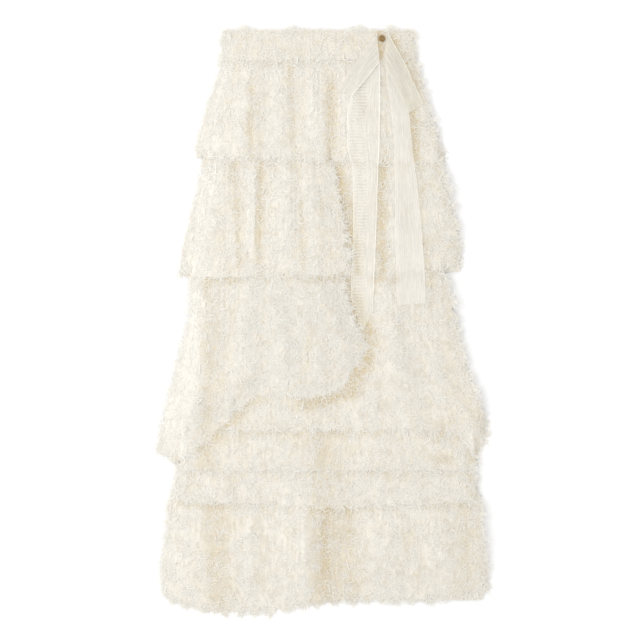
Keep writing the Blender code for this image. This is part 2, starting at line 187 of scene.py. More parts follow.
# An edge of a panel: does it run down it, the share of the panel at which threads are rooted, which way they
# lean, mm from one to the next and from clump to clump, and threads in a clump
Edge = namedtuple("Edge", "upright at lean pitch clumps each")
EDGES = {
    "top": Edge(False, 0.01, math.pi / 2, 1.3, 80.0, 44),
    "hem": Edge(False, 0.99, -math.pi / 2, 5.0, 26.0, 6),
    "foot": Edge(False, 0.99, -math.pi / 2, 1.1, 26.0, 18),  # the hem of the whole skirt
    "seam": Edge(False, 0.99, -math.pi / 2, 4.5, 22.0, 7),
    "left": Edge(True, 0.004, math.pi, 1.6, 27.0, 12),
    "right": Edge(True, 0.996, 0.0, 1.1, 24.0, 18),
}

Side = namedtuple("Side", "drop left right")  # the side edges of a piece at one height
# cut and area are the flat piece, in metres; rests is what it lies on; tufts is the columns and rows of them;
# covered names what lies on it; free names the edges that show, with sewn, lap and foot for how they lie
Panel = namedtuple(
    "Panel", "node sides hem cut rests tufts area covered free ripple nap",
    defaults=(None, None, (), (), 1.0, 1.0),
)
Loop = namedtuple("Loop", "node rails cut rests area", defaults=(None,))
# A main fold: a trough from one point to another, or a ridge where depth is below 0, so many mm to each side
# of its line, and how much painted shade it adds to open cloth, painted light where that is below 0
Fold = namedtuple("Fold", "x drop x_foot drop_foot reach depth sunk")


def pulled_in(*rows, left=LEFT_IN, right=RIGHT_IN):
    """Sides, from their drops, lefts and rights, so much further in: threads reach the rest of the way."""
    return tuple(Side(drop, x_left + left, x_right - right) for drop, x_left, x_right in rows)


WAIST_SIDES = pulled_in((-3, -168, 163), (45, -169, 166))
TIER_1_SIDES = pulled_in(
    (40, -168, 166), (78, -176, 173), (111, -189, 184), (145, -199, 193), (178, -208, 204), (218, -214, 216),
)
TIER_2_SIDES = pulled_in(
    (191, -194, 203), (228, -198, 208), (277, -213, 223), (311, -221, 231), (344, -231, 238),
    (377, -238, 241), (409, -239, 241),
)
TIER_2_WRAP = pulled_in((191, -194, 12), (261, -208, 25), (319, -223, 38), (402, -239, 51), right=0)
TIER_2_UNDER = pulled_in((191, -12, 203), (277, 5, 223), (344, 18, 238), (402, 27, 241), left=0)
TIER_3_SIDES = pulled_in(
    (380, -213, 209), (443, -209, 226), (510, -219, 238), (576, -233, 257), (610, -241, 271),
    (646, -246, 284),
)
TIER_3_BACK = pulled_in((380, -216, 209), (443, -216, 226), (576, -245, 257), (676, -268, 276))
CASCADE_SIDES = pulled_in(
    (380, -216, 27), (415, -221, 33), (465, -221, 47), (505, -231, 63), (522, -236, 76), (576, -249, 78),
    (643, -266, 78), (686, -277, 78), right=0,
)
TIER_4_SIDES = pulled_in((639, -233, 262), (709, -239, 267), (726, -241, 262))
FLOUNCE_SIDES = pulled_in((720, -240, 262), (781, -256, 272))
TIER_5_SIDES = pulled_in(
    (756, -249, 266), (792, -259, 276), (826, -259, 276), (859, -266, 281), (892, -270, 284),
    (925, -266, 284), (947, -257, 274),
)
# Hems, as points with their x and drop
TIER_1_HEM = ((-214, 194), (-188, 208), (-100, 208), (0, 211), (183, 218), (216, 214))
TIER_2_HEM = ((-239, 394), (-216, 409), (-149, 404), (38, 402), (133, 397), (208, 392), (241, 380))
TIER_3_HEM = ((-246, 659), (133, 659), (224, 661), (243, 686), (256, 708), (269, 683), (284, 651))
CASCADE_HEM = (
    (-277, 686), (-257, 703), (-236, 714), (-208, 693), (-179, 666), (-149, 628), (-116, 600), (-17, 605),
    (12, 598), (38, 581), (55, 555), (78, 522),
)
FLOUNCE_HEM = ((-256, 774), (-199, 777), (-66, 782), (-2, 789), (55, 789), (133, 782), (272, 776))
TIER_5_HEM = (
    (-257, 938), (-236, 946), (-199, 956), (-173, 961), (-81, 962), (-25, 951), (28, 941), (178, 942),
    (233, 935), (274, 925),
)
TAIL_LEFT_SIDES = pulled_in(
    (25, 86, 98), (70, 63, 99), (128, 45, 99), (194, 45, 98), (228, 54, 96), (327, 55, 93), (440, 51, 88),
    left=0, right=0,
)
TAIL_LEFT_HEM = ((51, 440), (70, 497), (88, 462))
TAIL_RIGHT_SIDES = pulled_in(
    (27, 109, 121), (78, 109, 138), (133, 118, 147), (184, 123, 152), (256, 124, 161), (327, 124, 168),
    (394, 126, 173), (448, 128, 174), left=0, right=0,
)
TAIL_RIGHT_HEM = ((128, 453), (174, 448))
# Bow loops: a share of the length, and the x and drop of both edges there
LOOP_LEFT = ((0.0, 95, 1, 98, 50), (0.5, 61, 48, 76, 78), (1.0, 29, 94, 53, 106))
LOOP_RIGHT = ((0.0, 113, 1, 104, 50), (0.5, 142, 54, 125, 91), (1.0, 171, 118, 146, 133))
EYELET_X, EYELET_DROP = 103, 10


def level_hem(sides, drop):
    """A straight hem at this drop."""
    return ((sides[-1].left, drop), (sides[-1].right, drop))


# The panels in the order in which they are laid
BACK = tuple(
    Panel(tier + "_back", sides, level_hem(sides, foot), cut, "floor")
    for tier, sides, foot, cut in (
        ("waistband", WAIST_SIDES, 45, (0.42, 0.050)),
        ("tier_1", TIER_1_SIDES, 208, (0.50, 0.165)),
        ("tier_2", TIER_2_SIDES, 396, (0.58, 0.210)),
        ("tier_3", TIER_3_BACK, 664, (0.64, 0.285)),
        ("tier_4", TIER_4_SIDES, 726, (0.62, 0.090)),
        ("flounce", FLOUNCE_SIDES, 779, (0.64, 0.055)),
        ("tier_5", TIER_5_SIDES, 941, (0.68, 0.190)),
    )
)
FRONT = (
    Panel(
        "tier_5_front", TIER_5_SIDES, TIER_5_HEM, (0.68, 0.205), "tier_5_back_cloth", (19, 9),
        covered=("flounce_front",), free=("left", "right", "hem", "foot"),
    ),
    Panel(
        "flounce_front", FLOUNCE_SIDES, FLOUNCE_HEM, (0.66, 0.060), "tier_5_front_cloth", (26, 3),
        covered=("tier_4_front",), free=("left", "right", "hem", "sewn"),
    ),
    Panel(
        "tier_4_front", TIER_4_SIDES, level_hem(TIER_4_SIDES, 726), (0.62, 0.090), "tier_4_back_cloth",
        (19, 4),
        covered=("tier_3_front", "tier_3_overlay"), free=("left", "right", "seam"),
    ),
    Panel(
        "tier_3_front", TIER_3_SIDES, TIER_3_HEM, (0.62, 0.320), "tier_4_front_cloth", (19, 13), 0.178,
        covered=("tier_2_front_right", "tier_2_front_left", "tier_3_overlay"), free=("left", "right", "hem"),
    ),
    Panel(
        "tier_3_overlay", CASCADE_SIDES, CASCADE_HEM, (0.40, 0.335), "tier_3_front_cloth", (13, 14), 0.097,
        covered=("tier_2_front_right", "tier_2_front_left"), free=("left", "right", "hem", "lap"),
    ),
    Panel(
        "tier_2_front_right", TIER_2_UNDER, TIER_2_HEM, (0.31, 0.215), "tier_3_front_cloth", (12, 10), 0.061,
        covered=("tier_1_front", "tier_2_front_left"), free=("right", "hem"), ripple=1.6,
    ),
    Panel(
        "tier_2_front_left", TIER_2_WRAP, TIER_2_HEM, (0.36, 0.220), "tier_3_overlay_cloth", (14, 10), 0.073,
        covered=("tier_1_front",), free=("left", "right", "hem", "lap"), ripple=1.6,
    ),
    Panel(
        "tier_1_front", TIER_1_SIDES, TIER_1_HEM, (0.50, 0.175), "tier_2_front_left_cloth", (20, 8),
        covered=("waistband_front",), free=("left", "right", "hem", "sewn"), ripple=1.3,
    ),
    Panel(
        "waistband_front", WAIST_SIDES, level_hem(WAIST_SIDES, 45), (0.42, 0.050), "waistband_back_cloth",
        (20, 2), free=("top", "left", "right", "seam"), ripple=0.8, nap=0.9,
    ),
)
TAILS = (
    Panel(
        "bow_tail_left", TAIL_LEFT_SIDES, TAIL_LEFT_HEM, (0.055, 0.475), "tier_1_front_cloth",
        area=0.0215, ripple=0.4,
    ),
    Panel(
        "bow_tail_right", TAIL_RIGHT_SIDES, TAIL_RIGHT_HEM, (0.050, 0.430), "tier_1_front_cloth",
        area=0.0185, ripple=0.4,
    ),
)
LOOPS = (
    Loop("bow_loop_left", LOOP_LEFT, (0.033, 0.220), "waistband_front_cloth"),
    Loop("bow_loop_right", LOOP_RIGHT, (0.033, 0.270), "waistband_front_cloth"),
)

# Their last column is painted shade: in folds, beside hems and where the bow and the cascade's edge cast
# shadows
FOLDS = {
    "waistband_front": (
        (102, 4, 102, 52, 8, 0.2, 0.9), (-150, 22, 150, 23, 60, 0, 0.1), (121, 8, 146, 52, 7, 0.1, 0.8),
    ),
    "tier_1_front": (
        (143, 45, 164, 90, 7, 0.1, 0.75), (-111, 78, -115, 208, 8, 0.68, 0.38),
        (-100, 105, -95, 194, 7, 0.22, 0.15), (-47, 48, -42, 204, 7, 0.52, 0.26),
        (23, 85, 17, 208, 12, 0.68, 0.41), (157, 128, 160, 208, 9, 0.2, 0.75),
        (70, 108, 78, 135, 8, 0.22, 0.19), (110, 48, 113, 208, 7, 0.22, 0.19),
        (-128, 48, -135, 208, 8, -0.38, -0.06), (-76, 61, -80, 208, 12, -0.52, -0.08),
        (-17, 95, -15, 208, 8, -0.38, -0.07), (-159, 55, -179, 208, 15, -0.22, -0.15),
    ),
    "tier_2_front_left": (
        (-146, 211, -143, 244, 13, 0.22, 0.32), (-136, 254, -133, 390, 8, 0.68, 0.28),
        (-96, 214, -101, 397, 10, 0.68, 0.34), (-28, 277, -25, 390, 7, 0.38, 0.22),
        (3, 271, 12, 394, 13, 0.22, 0.09), (-116, 228, -115, 397, 7, -0.52, -0.07),
        (-61, 221, -58, 397, 15, -0.68, -0.08), (-178, 231, -203, 394, 17, -0.22, -0.17),
    ),
    "tier_2_front_right": (
        (24, 205, 46, 290, 15, 0.4, 0.8), (46, 290, 62, 400, 14, 0.4, 0.7),
        (105, 205, 106, 400, 13, 0.3, 0.55), (168, 219, 173, 344, 7, 0.22, 0.15),
        (178, 344, 183, 397, 8, 0.22, 0.3), (196, 244, 203, 380, 10, -0.22, 0.04),
        (219, 228, 228, 380, 10, 0.22, 0.09),
    ),
    "tier_3_overlay": (
        (-183, 409, -126, 410, 7, 0, 0.42), (-33, 410, 40, 410, 7, 0, 0.51),
        (-178, 424, -182, 686, 20, 0.5, 0.28), (-17, 480, -20, 596, 10, 0.38, 0.19),
        (15, 437, 20, 573, 15, 0.22, 0.07), (-123, 424, -123, 596, 15, -0.52, -0.04),
        (-68, 424, -63, 596, 18, -0.52, -0.07), (-209, 443, -243, 696, 22, -0.22, -0.21),
        (43, 473, 56, 523, 8, -0.3, -0.07),
    ),
    "tier_3_front": (
        (42, 412, 56, 447, 14, 0.2, 0.9), (58, 443, 82, 503, 14, 0.2, 0.8), (86, 507, 80, 546, 15, 0.2, 0.8),
        (72, 550, 52, 592, 16, 0.2, 0.8), (45, 596, -25, 618, 14, 0.2, 0.85), (3, 603, 7, 628, 8, 0, 0.3),
        (-116, 610, -138, 636, 14, 0.1, 0.5), (-140, 634, -178, 672, 14, 0.2, 0.6),
        (86, 410, 130, 410, 8, 0, 0.42), (183, 380, 188, 447, 8, 0.22, 0.34),
        (166, 651, 236, 651, 15, 0, 0.14), (136, 443, 143, 649, 17, -0.38, -0.04),
        (-63, 613, -50, 656, 17, -0.22, -0.03), (208, 477, 233, 626, 12, -0.22, 0.03),
    ),
    "tier_4_front": (
        (-133, 663, 42, 663, 7, 0, 0.26), (-3, 659, 27, 659, 7, 0, 0.26), (66, 663, 110, 663, 7, 0, 0.22),
        (173, 671, 243, 671, 13, 0, 0.16), (-178, 664, -186, 725, 26, 0.3, 0.36),
        (12, 662, 18, 729, 36, 0.4, 0.3), (189, 706, 219, 714, 10, 0, 0.27),
        (-80, 666, -76, 723, 20, -0.22, -0.04), (126, 676, 130, 723, 15, -0.22, -0.03),
    ),
    "flounce_front": (
        (14, 726, 16, 787, 36, 0.3, 0.3), (-136, 733, -140, 781, 8, 0.22, 0.2),
        (-213, 749, -213, 776, 10, 0.22, 0.16), (-189, 737, -188, 757, 12, -0.52, -0.15),
        (-73, 731, -68, 776, 20, -0.22, -0.07), (146, 733, 149, 776, 17, -0.22, -0.06),
    ),
    "tier_5_front": (
        (-266, 781, -125, 781, 7, 0, 0.26), (-8, 789, 43, 789, 8, 0, 0.42), (43, 789, 110, 787, 7, 0, 0.26),
        (173, 781, 243, 781, 8, 0, 0.38), (-164, 786, -160, 945, 28, 0.7, 0.3),
        (25, 789, 28, 945, 46, 0.6, 0.36), (10, 812, 15, 945, 8, 0.22, 0.19),
        (55, 812, 60, 942, 10, 0.22, 0.15), (244, 786, 247, 935, 15, 0.52, 0.19),
        (166, 842, 169, 928, 7, 0.22, 0.09), (-120, 796, -125, 945, 8, -0.52, -0.07),
        (-73, 796, -70, 948, 18, -0.68, -0.08), (-30, 799, -28, 945, 8, -0.52, -0.08),
        (123, 799, 126, 935, 20, -0.52, -0.07), (184, 796, 188, 932, 10, -0.38, -0.06),
        (-233, 796, -239, 935, 15, -0.22, -0.04),
    ),
}

eyelet_low, eyelet_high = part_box("bow_eyelet")
eyelet_middle = (eyelet_low + eyelet_high) / 2
MIDDLE_X = EYELET_X - eyelet_middle.x / MM  # the x over the part's origin
MIDDLE_DROP = EYELET_DROP + eyelet_middle.y / MM  # and the drop there


def world(x, drop, height):
    """Points of the laid skirt, in metres."""
    return np.stack([(x - MIDDLE_X) * MM, (MIDDLE_DROP - drop) * MM, height * MM], axis=-1)


# -------- finishes


def linear(hex_colour):
    """An sRGB hex colour as linear RGBA."""
    parts = [int(hex_colour[i : i + 2], 16) / 255 for i in (1, 3, 5)]
    return (*[c / 12.92 if c <= 0.04045 else ((c + 0.055) / 1.055) ** 2.4 for c in parts], 1.0)


def add_object(name, data):
    """Puts a mesh, lamp or camera in the scene."""
    made = bpy.data.objects.new(name, data)
    bpy.context.collection.objects.link(made)
    return made


def wire(node, inputs):
    """Gives a node's sockets these values, or links from other sockets."""
    for socket, value in inputs.items():
        if isinstance(value, bpy.types.NodeSocket):
            node.id_data.links.new(value, node.inputs[socket])
        else:
            node.inputs[socket].default_value = value


def add_node(tree, kind, inputs=None, out=0, **settings):
    """Adds a node with its settings and inputs, and returns one of its outputs."""
    node = tree.nodes.new(kind)
    for name, value in settings.items():
        setattr(node, name, value)
    wire(node, inputs or {})
    return node.outputs[out]


def new_material(name):
    """An empty material, what adds nodes to it, and its surface shader."""
    made = bpy.data.materials.new(name)
    made.use_nodes = True
    return made, partial(add_node, made.node_tree), made.node_tree.nodes["Principled BSDF"]


def light_and_shade_colour(add, depth, lit, ground, sunk):
    """Painted light and shade: blends from the colour of a lit edge by that of open cloth to the painted
    shade of a hollow.
    """
    open_share = add("ShaderNodeMapRange", {"Value": depth, "From Max": OPEN})
    sunk_share = add("ShaderNodeMapRange", {"Value": depth, "From Min": OPEN})
    pale = add("ShaderNodeMix", {0: open_share, 6: linear(lit), 7: linear(ground)}, 2, data_type="RGBA")
    return add("ShaderNodeMix", {0: sunk_share, 6: pale, 7: linear(sunk)}, 2, data_type="RGBA")


def tulle_finish():
    """Gathered polyester tulle in layers: matt, with fine upright lines where the net bunches; painted light
    makes it cool and pale on its ridges and lit edges, and painted shade a warm cream in its hollows and
    shadows."""
    made, add, shader = new_material("gathered_tulle")
    cut = add("ShaderNodeUVMap", uv_map="cut")
    place = add("ShaderNodeTexCoord", out="Object")
    painted_shade = add("ShaderNodeAttribute", out="Fac", attribute_name="painted_shade")
    upright = add("ShaderNodeMapping", {"Vector": cut, "Scale": GATHER_LINES})
    gathers = add("ShaderNodeTexNoise", {"Vector": upright, "Scale": 1.0, "Detail": 2.0, "Roughness": 0.6})
    net = add("ShaderNodeTexNoise", {"Vector": place, "Scale": 1 / NET_GRAIN, "Detail": 3.0})
    patches = add("ShaderNodeTexNoise", {"Vector": place, "Scale": 1 / TONE_PATCH, "Detail": 2.0})
    uneven = add("ShaderNodeMath", {0: patches, 1: 0.5, 2: -0.25}, operation="MULTIPLY_ADD")
    depth = add("ShaderNodeMath", {0: uneven, 1: painted_shade}, operation="ADD")
    # painted light of a lit edge, open cloth, and painted shade in a hollow
    layers = light_and_shade_colour(add, depth, "#F2EFE6", "#ECE6DA", "#D3C4A3")
    lines = add(
        "ShaderNodeMapRange",
        {"Value": gathers, "From Min": NOISE_LOW, "From Max": NOISE_HIGH, "To Min": 0.9, "To Max": 1.05},
    )
    colour = add("ShaderNodeMix", {0: 1.0, 6: layers, 7: lines}, 2, data_type="RGBA", blend_type="MULTIPLY")
    height = add("ShaderNodeMath", {0: gathers, 1: net}, operation="ADD")
    bump = add("ShaderNodeBump", {"Height": height, "Strength": 0.35, "Distance": 0.001})
    wire(shader, {
        "Base Color": colour, "Normal": bump, "Roughness": 0.9, "Specular IOR Level": 0.2,
        "Sheen Weight": 0.1, "Sheen Roughness": 0.6,
    })
    return made


def thread_finish():
    """Frayed polyester threads: paler than the tulle, palest at the tip, each its own tone in painted shade.
    """
    made, add, shader = new_material("frayed_thread")
    place = add("ShaderNodeUVMap", uv_map="strand")
    shade = add("ShaderNodeSeparateXYZ", {"Vector": place}, "X")
    along = shade.node.outputs["Y"]
    # painted light, open cloth and painted shade, from where the thread grows
    root = light_and_shade_colour(add, shade, "#F9F7F1", "#F3EFE6", "#E0D1B1")
    colour = add("ShaderNodeMix", {0: along, 6: root, 7: linear("#F9F7F1")}, 2, data_type="RGBA")
    through = add("ShaderNodeBsdfTranslucent", {"Color": colour})
    both = add("ShaderNodeMixShader", {0: THREAD_THROUGH, 1: shader.outputs["BSDF"], 2: through})
    wire(shader.id_data.nodes["Material Output"], {"Surface": both})
    wire(shader, {"Base Color": colour, "Roughness": 0.7, "Specular IOR Level": 0.2, "Sheen Weight": 0.1})
    return made


def ribbon_finish(name, ladder, edges, ground, rib):
    """Sheer woven ribbon: see-through, finely ribbed, with bright selvedges and a band of drawn-thread ladder
    work. ladder is how open that band is, and edges is how much of each selvedge shows."""
    made, add, shader = new_material(name)
    place = add("ShaderNodeUVMap", uv_map="cut")
    across = add("ShaderNodeSeparateXYZ", {"Vector": place}, "X")
    along = across.node.outputs["Y"]
    ribs = add("ShaderNodeMapping", {"Vector": place, "Scale": RIBS})
    ribbing = add("ShaderNodeTexNoise", {"Vector": ribs, "Scale": 1.0, "Detail": 3.0, "Roughness": 0.7})
    bars = add("ShaderNodeMath", {0: along, 1: 2 * math.pi / RUNG}, operation="MULTIPLY")
    wave = add("ShaderNodeMath", {0: bars}, operation="SINE")
    rung = add("ShaderNodeMapRange", {"Value": wave, "From Min": -0.6, "From Max": 0.6})
    away = add("ShaderNodeMath", {0: across, 1: LADDER_AT}, operation="SUBTRACT")
    away = add("ShaderNodeMath", {0: away}, operation="ABSOLUTE")
    plain = add("ShaderNodeMapRange", {"Value": away, "From Min": PLAIN_FROM, "From Max": PLAIN_AT})
    weave = add("ShaderNodeMath", {0: rung, 1: plain}, operation="MAXIMUM")
    near = []
    for (edge, inner), shown in zip(SELVEDGES, edges):
        band = {"From Min": edge, "From Max": inner, "To Min": shown, "To Max": 0.0}
        near.append(add("ShaderNodeMapRange", {"Value": across, **band}))
    selvedge = add("ShaderNodeMath", {0: near[0], 1: near[1]}, operation="MAXIMUM")
    woven = add("ShaderNodeMix", {0: ribbing, 6: linear(ground), 7: linear(rib)}, 2, data_type="RGBA")
    colour = add("ShaderNodeMix", {0: selvedge, 6: woven, 7: linear("#FCFAF2")}, 2, data_type="RGBA")
    least = SHEER - LADDER_OPEN * ladder
    sheer = add("ShaderNodeMapRange", {"Value": weave, "To Min": least, "To Max": SHEER})
    thick = {"From Min": NOISE_LOW, "From Max": NOISE_HIGH, "To Min": RIB_THIN, "To Max": RIB_THICK}
    thick = add("ShaderNodeMapRange", {"Value": ribbing, **thick})
    ribbed = add("ShaderNodeMath", {0: sheer, 1: thick}, operation="MULTIPLY")
    alpha = add("ShaderNodeMath", {0: ribbed, 1: selvedge}, operation="MAXIMUM")
    bump = add("ShaderNodeBump", {"Height": ribbing, "Strength": 0.3, "Distance": 0.0005})
    wire(shader, {
        "Base Color": colour, "Alpha": alpha, "Normal": bump, "Roughness": 0.6, "Specular IOR Level": 0.3,
        "Sheen Weight": 0.2,
    })
    return made


def brass_finish(name, worn_and_shaded, bright):
    """Rolled and plated brass, gone brown with wear; on the eyelet's plug its tones are painted shade."""
    made, add, shader = new_material(name)
    place = add("ShaderNodeTexCoord", out="Object")
    wear_and_shade = add("ShaderNodeTexNoise", {"Vector": place, "Scale": 900.0, "Detail": 3.0})
    colour = add("ShaderNodeMix", {0: wear_and_shade, 6: linear(worn_and_shaded), 7: linear(bright)}, 2, data_type="RGBA")
    wire(shader, {"Base Color": colour, "Metallic": 1.0, "Roughness": 0.38})
    return made


def floor_finish():
    """Matt white card."""
    made, _, shader = new_material("white_card")
    wire(shader, {"Base Color": linear("#FDFDFD"), "Roughness": 1.0, "Specular IOR Level": 0.0})
    return made


# -------- studio


def studio():
    """The floor, the soft light from the upper left, and the camera straight above."""
    bpy.ops.mesh.primitive_plane_add(size=FLOOR_SIDE, location=(0, 0, -FLOOR_GAP))
    floor = bpy.context.object
    floor.name = "floor"
    bpy.ops.object.transform_apply(location=True)
    floor.data.materials.append(floor_finish())

    sky = bpy.data.worlds.new("studio")
    sky.use_nodes = True
    wire(sky.node_tree.nodes["Background"], {"Color": (1.0, 1.0, 1.0, 1.0), "Strength": SKY_LIGHT})
    bpy.context.scene.world = sky

    lamp = bpy.data.lights.new("softbox", "AREA")
    lamp.size = SOFTBOX_SIDE
    lamp.energy = SOFTBOX_POWER
    softbox = add_object("softbox", lamp)
    softbox.location = SOFTBOX_PLACE
    softbox.rotation_euler = (-Vector(SOFTBOX_PLACE)).to_track_quat("-Z", "Y").to_euler()

    eye = bpy.data.cameras.new("camera")
    eye.lens = LENS
    eye.sensor_width = SENSOR
    eye.clip_end = 50.0
    camera = add_object("camera", eye)
    across = PHOTO_SIDE * PIXEL * MM
    centre = [(PHOTO_SIDE / 2 - start) * PIXEL for start in (PHOTO_MIDDLE, WAIST_TOP_ROW)]
    camera.location = (*world(*centre, 0.0)[:2], across * LENS / SENSOR)
    bpy.context.scene.camera = camera
    bpy.context.scene.view_settings.view_transform = "Standard"


# -------- cloth


def ramp(start, end, at):
    """Smooth step from 0 at start to 1 at end."""
    share = np.clip((at - start) / (end - start), 0.0, 1.0)
    return share * share * (3.0 - 2.0 * share)


def blend(one, other, share):
    return one + (other - one) * share


def table_column(rows, at, pick):
    """One column of a table of rows, where its first column has these values."""
    return np.interp(at, [row[0] for row in rows], [row[pick] for row in rows])


def plan(panel, across, down):
    """x and drop at these shares of a panel's width and length."""
    foot = blend(panel.sides[-1].left, panel.sides[-1].right, across)
    drop = blend(panel.sides[0].drop, table_column(panel.hem, foot, 1), down)
    return blend(table_column(panel.sides, drop, 1), table_column(panel.sides, drop, 2), across), drop


def size_of(panel):
    """A panel's width at its foot and its greatest length."""
    foot = panel.sides[-1]
    return foot.right - foot.left, max(drop for _, drop in panel.hem) - panel.sides[0].drop


def ring_of(panel, steps=24):
    """The edge of a panel as one closed ring of (x, drop)."""
    share = np.linspace(0.0, 1.0, steps)
    one, none = np.ones(steps), np.zeros(steps)
    sides = [(share, none), (one, share), (share[::-1], one), (none, share[::-1])]
    return np.concatenate([np.stack(plan(panel, u, t), axis=-1)[:-1] for u, t in sides])


def distance_outside(ring, x, drop):
    """How far each point lies outside a ring, negative inside it."""
    spot = np.stack([x, drop], axis=-1)[:, None, :]
    start, end = ring[None], np.roll(ring, -1, axis=0)[None]
    edge = end - start
    share = np.clip(((spot - start) * edge).sum(-1) / (edge * edge).sum(-1).clip(1e-9), 0.0, 1.0)
    reach = np.linalg.norm(spot - start - edge * share[..., None], axis=-1).min(axis=1)
    spans = (start[..., 1] > spot[..., 1]) != (end[..., 1] > spot[..., 1])
    rise = np.where(spans, edge[..., 1], 1.0)
    crossing = start[..., 0] + (spot[..., 1] - start[..., 1]) / rise * edge[..., 0]
    inside = (spans & (crossing > spot[..., 0])).sum(axis=1) % 2 == 1
    return np.where(inside, -reach, reach)


def bare(panel, across, down, rings, clear):
    """Which of these places of a panel no other piece comes near."""
    x, drop = plan(panel, across, down)
    keep = np.ones(len(x), bool)
    for ring in rings:
        keep &= distance_outside(ring, x, drop) > clear
    return keep


def solid_tree(node):
    """The solid of a CAD node, to measure its faces."""
    mesh = frame["nodes"][node].data
    points = [tuple(v.co) for v in mesh.vertices]
    return BVHTree.FromPolygons(points, [tuple(p.vertices) for p in mesh.polygons])


def measure(tree, spots, from_above):
    """Height in mm of the first face met at each spot of a grid, nan where none is."""
    start = 1.0 if from_above else -1.0
    found = np.full(spots.shape[:2], np.nan)
    for place in np.ndindex(found.shape):
        hit = tree.ray_cast(Vector((*spots[place][:2], start)), Vector((0.0, 0.0, -start)))[0]
        if hit:
            found[place] = hit.z / MM
    return found


def fill_gaps(field):
    """Gives each nan in a grid the nearest value in its row, or in its column."""
    for lines in (field, field.T):
        for line in lines:
            known = np.flatnonzero(~np.isnan(line))
            if len(known):
                line[:] = np.interp(np.arange(len(line)), known, line[known])
    return field


def soften(field, across, down):
    """A running mean with soft ends over a grid, this many cells each way across and down."""
    for axis, reach in ((1, round(across)), (0, round(down))):
        weights = np.hanning(2 * reach + 3)[1:-1]
        pad = [(0, 0), (0, 0)]
        pad[axis] = (reach, reach)
        wide = np.pad(field, pad, mode="edge")
        field = np.apply_along_axis(np.convolve, axis, wide, weights / weights.sum(), "valid")
    return field


def unit(vectors):
    """These vectors with a length of 1."""
    return vectors / np.linalg.norm(vectors, axis=-1, keepdims=True).clip(1e-12)


def ripples(x, down, rng, wave):
    """Uneven upright ripples: waves of many widths that wander a little on their way down."""
    field = np.zeros_like(x)
    for _ in range(wave.count):
        length = rng.uniform(wave.shortest, wave.longest)
        wander = rng.uniform(-WANDER, WANDER) * down
        wander = wander + WANDER_SWAY * np.sin(rng.uniform(2, 6) * down + rng.uniform(0, 6))
        field += np.sin(2 * np.pi * x / length + wander + rng.uniform(0, 6))
    return field / math.sqrt(wave.count) * wave.depth * blend(wave.top, wave.foot, down)


def grid_quads(points):
    """Quads over a grid of points, row by row."""
    rows, columns = points.shape[:2]
    first = np.arange((rows - 1) * columns).reshape(rows - 1, columns)[:, :-1].ravel()
    return np.stack([first, first + columns, first + columns + 1, first + 1], axis=1)


def lay_map(mesh, name, place):
    """Sets a mesh's UV map of this name to the place of each of its points."""
    layer = mesh.uv_layers.get(name) or mesh.uv_layers.new(name=name)
    corners = np.zeros(len(mesh.loops), np.int32)
    mesh.loops.foreach_get("vertex_index", corners)
    layer.data.foreach_set("uv", place.reshape(-1, 2)[corners].astype(np.float32).ravel())


def grid_piece(name, points, place, finish, face_up=True):
    """A smooth sheet over a grid of points, with its place on the flat cut as a UV map."""
    quads = grid_quads(points)[:, :: 1 if face_up else -1]
    mesh = bpy.data.meshes.new(name)
    mesh.from_pydata(points.reshape(-1, 3).tolist(), [], quads.tolist())
    lay_map(mesh, "cut", place)
    mesh.shade_smooth()
    mesh.materials.append(finish)
    return add_object(name, mesh)


class Pile:
    """The sheets laid so far, as one surface."""

    def __init__(self):
        self.points = np.zeros((0, 3))
        self.quads = np.zeros((0, 4), int)

    def add(self, points):
        self.quads = np.concatenate([self.quads, grid_quads(points) + len(self.points)])
        self.points = np.concatenate([self.points, points.reshape(-1, 3)])

    def height(self, spots):
        """How high the pile stands at each spot, in mm, and 0 where it is bare."""
        if not len(self.quads):
            return np.zeros(spots.shape[:2])
        tree = BVHTree.FromPolygons(self.points.tolist(), self.quads.tolist())
        return np.nan_to_num(measure(tree, spots, from_above=True))


class Sheet:
    """A laid sheet: its points, and what lies between them."""

    def __init__(self, points, painted_shade):
        rows, columns = points.shape[:2]
        across, down = points[rows // 2, [0, -1]], points[[0, -1], columns // 2]
        self.size = np.array([math.dist(*across), math.dist(*down)]) / MM
        self.points = points
        self.painted_shade = painted_shade[..., None]
        self.normals = unit(np.cross(np.gradient(points, axis=0), np.gradient(points, axis=1)))

    def at(self, across, down):
        """Points, normals and painted shade at these shares of the width and length."""
        rows, columns = self.points.shape[:2]
        column, row = np.clip(across, 0, 1) * (columns - 1), np.clip(down, 0, 1) * (rows - 1)
        i, j = column.astype(int).clip(0, columns - 2), row.astype(int).clip(0, rows - 2)
        p, q = (column - i)[..., None], (row - j)[..., None]
        return [
            blend(blend(field[j, i], field[j, i + 1], p), blend(field[j + 1, i], field[j + 1, i + 1], p), q)
            for field in (self.points, self.normals, self.painted_shade)
        ]


def fold_fields(panel, x, drop):
    """How deep a panel's main folds are at each point, and how much painted shade they add."""
    depth, sunk = np.zeros_like(x), np.zeros_like(x)
    for fold in map(Fold._make, FOLDS.get(panel.node, ())):
        run_x, run_drop = fold.x_foot - fold.x, fold.drop_foot - fold.drop
        to_x, to_drop = x - fold.x, drop - fold.drop
        share = np.clip((to_x * run_x + to_drop * run_drop) / (run_x**2 + run_drop**2), 0.0, 1.0)
        away = np.hypot(to_x - share * run_x, to_drop - share * run_drop)
        side = to_x * run_drop - to_drop * run_x
        steep = -1.0 if (fold.sunk < 0) == (run_drop > run_x) else 1.0
        away = away * np.sign(side) * steep + FOLD_SHIFT * fold.reach
        across = np.exp(-((away / fold.reach / np.where(away < 0, FOLD_STEEP, 1.0)) ** 2))
        depth += fold.depth * across
        sunk += fold.sunk * across
    return depth, sunk


